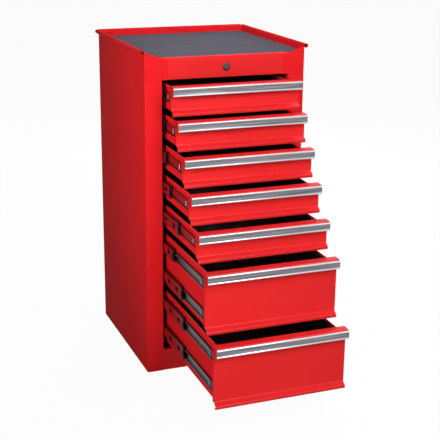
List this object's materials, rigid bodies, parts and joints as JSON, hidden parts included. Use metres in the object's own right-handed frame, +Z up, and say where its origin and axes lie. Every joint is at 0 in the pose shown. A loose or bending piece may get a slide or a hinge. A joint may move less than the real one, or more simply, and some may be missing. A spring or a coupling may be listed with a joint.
{
  "type": "tool cabinet",
  "caption": "Upright sheet-steel side tool cabinet with a lipped top tray, full-width pulls on shallow and deep drawers running on ball slides, and a keyed lock.",
  "frame": {"origin": "middle of the cabinet's base, on the floor", "axes": "+X right seen from the front, +Y to the back, +Z up; the drawers open along -Y"},
  "size_m": [0.46, 0.857, 0.876],
  "materials": {
    "red_paint": "gloss red powder coat",
    "dark_paint": "satin black, inside the cabinet",
    "pull_aluminium": "brushed along its length, bright edges",
    "zinc_steel": "bright zinc plate",
    "black_plastic": "moulded",
    "lock_chrome": "polished",
    "lock_brass": "turned",
    "mat_rubber": "ribbed matt rubber",
    "liner_foam": "fine foam"
  },
  "bodies": {
    "cabinet": {"left_side_wall": "red_paint", "right_side_wall": "red_paint", "back_panel": "red_paint", "header_panel": "red_paint", "toe_panel": "red_paint", "bottom_pan": "red_paint", "top_deck": "red_paint", "top_mat": "mat_rubber", "slide_posts": "dark_paint", "cabinet_rails": "zinc_steel", "lock_housing": "lock_chrome", "lock_nut": "zinc_steel", "lock_guides": "zinc_steel"},
    "drawer_1": {"drawer_1_body": "red_paint", "drawer_1_pull": "pull_aluminium", "drawer_1_liner": "liner_foam", "drawer_1_rails": "zinc_steel"},
    "drawer_2": {"drawer_2_body": "red_paint", "drawer_2_pull": "pull_aluminium", "drawer_2_liner": "liner_foam", "drawer_2_rails": "zinc_steel"},
    "drawer_3": {"drawer_3_body": "red_paint", "drawer_3_pull": "pull_aluminium", "drawer_3_liner": "liner_foam", "drawer_3_rails": "zinc_steel"},
    "drawer_4": {"drawer_4_body": "red_paint", "drawer_4_pull": "pull_aluminium", "drawer_4_liner": "liner_foam", "drawer_4_rails": "zinc_steel"},
    "drawer_5": {"drawer_5_body": "red_paint", "drawer_5_pull": "pull_aluminium", "drawer_5_liner": "liner_foam", "drawer_5_rails": "zinc_steel"},
    "drawer_6": {"drawer_6_body": "red_paint", "drawer_6_pull": "pull_aluminium", "drawer_6_liner": "liner_foam", "drawer_6_rails": "zinc_steel"},
    "drawer_7": {"drawer_7_body": "red_paint", "drawer_7_pull": "pull_aluminium", "drawer_7_liner": "liner_foam", "drawer_7_rails": "zinc_steel"},
    "slide_1_middle": {"slide_1_middle_rails": "zinc_steel", "slide_1_stops": "black_plastic"},
    "slide_2_middle": {"slide_2_middle_rails": "zinc_steel", "slide_2_stops": "black_plastic"},
    "slide_3_middle": {"slide_3_middle_rails": "zinc_steel", "slide_3_stops": "black_plastic"},
    "slide_4_middle": {"slide_4_middle_rails": "zinc_steel", "slide_4_stops": "black_plastic"},
    "slide_5_middle": {"slide_5_middle_rails": "zinc_steel", "slide_5_stops": "black_plastic"},
    "slide_6_upper_middle": {"slide_6_upper_middle_rails": "zinc_steel", "slide_6_upper_stops": "black_plastic"},
    "slide_6_lower_middle": {"slide_6_lower_middle_rails": "zinc_steel", "slide_6_lower_stops": "black_plastic"},
    "slide_7_middle": {"slide_7_middle_rails": "zinc_steel", "slide_7_stops": "black_plastic"},
    "lock_turn": {"lock_plug": "lock_brass", "lock_rod": "zinc_steel"},
    "lock_lift": {"lock_bar": "zinc_steel"}
  },
  "joints": [
    {"name": "drawer_1_slide", "type": "slide", "parent": "cabinet", "child": "drawer_1", "axis": [0, -1, 0], "range_m": [-0.079, 0.321]},
    {"name": "drawer_2_slide", "type": "slide", "parent": "cabinet", "child": "drawer_2", "axis": [0, -1, 0], "range_m": [-0.117, 0.283]},
    {"name": "drawer_3_slide", "type": "slide", "parent": "cabinet", "child": "drawer_3", "axis": [0, -1, 0], "range_m": [-0.166, 0.234]},
    {"name": "drawer_4_slide", "type": "slide", "parent": "cabinet", "child": "drawer_4", "axis": [0, -1, 0], "range_m": [-0.214, 0.186]},
    {"name": "drawer_5_slide", "type": "slide", "parent": "cabinet", "child": "drawer_5", "axis": [0, -1, 0], "range_m": [-0.267, 0.133]},
    {"name": "drawer_6_slide", "type": "slide", "parent": "cabinet", "child": "drawer_6", "axis": [0, -1, 0], "range_m": [-0.328, 0.072]},
    {"name": "drawer_7_slide", "type": "slide", "parent": "cabinet", "child": "drawer_7", "axis": [0, -1, 0], "range_m": [-0.391, 0.009]},
    {"name": "slide_1_middle_run", "type": "slide", "parent": "cabinet", "child": "slide_1_middle", "axis": [0, -1, 0], "range_m": [-0.0317, 0.1285]},
    {"name": "slide_2_middle_run", "type": "slide", "parent": "cabinet", "child": "slide_2_middle", "axis": [0, -1, 0], "range_m": [-0.0352, 0.085]},
    {"name": "slide_3_middle_run", "type": "slide", "parent": "cabinet", "child": "slide_3_middle", "axis": [0, -1, 0], "range_m": [-0.0499, 0.0703]},
    {"name": "slide_4_middle_run", "type": "slide", "parent": "cabinet", "child": "slide_4_middle", "axis": [0, -1, 0], "range_m": [-0.08142, 0.07078]},
    {"name": "slide_5_middle_run", "type": "slide", "parent": "cabinet", "child": "slide_5_middle", "axis": [0, -1, 0], "range_m": [-0.14428, 0.07192]},
    {"name": "slide_6_upper_middle_run", "type": "slide", "parent": "cabinet", "child": "slide_6_upper_middle", "axis": [0, -1, 0], "range_m": [-0.10178, 0.02242]},
    {"name": "slide_6_lower_middle_run", "type": "slide", "parent": "cabinet", "child": "slide_6_lower_middle", "axis": [0, -1, 0], "range_m": [-0.16738, 0.03682]},
    {"name": "slide_7_middle_run", "type": "slide", "parent": "cabinet", "child": "slide_7_middle", "axis": [0, -1, 0], "range_m": [-0.17996, 0.00424]},
    {"name": "lock_bar_slide", "type": "slide", "parent": "cabinet", "child": "lock_lift", "axis": [0, 0, -1], "range_m": [0, 0.01414]},
    {"name": "lock_key_turn", "type": "hinge", "parent": "cabinet", "child": "lock_turn", "pos_m": [0, -0.222, 0.826], "axis": [0, 1, 0], "range_deg": [0, 90.5]}
  ],
  "couplings": [
    {"joint": "slide_1_middle_run", "follows": "drawer_1_slide", "ratio": 0.4},
    {"joint": "slide_2_middle_run", "follows": "drawer_2_slide", "ratio": 0.3},
    {"joint": "slide_3_middle_run", "follows": "drawer_3_slide", "ratio": 0.3},
    {"joint": "slide_4_middle_run", "follows": "drawer_4_slide", "ratio": 0.38},
    {"joint": "slide_5_middle_run", "follows": "drawer_5_slide", "ratio": 0.54},
    {"joint": "slide_6_upper_middle_run", "follows": "drawer_6_slide", "ratio": 0.31},
    {"joint": "slide_6_lower_middle_run", "follows": "drawer_6_slide", "ratio": 0.51},
    {"joint": "slide_7_middle_run", "follows": "drawer_7_slide", "ratio": 0.46},
    {"joint": "lock_key_turn", "follows": "lock_bar_slide", "rad_per_m": 111.07}
  ]
}
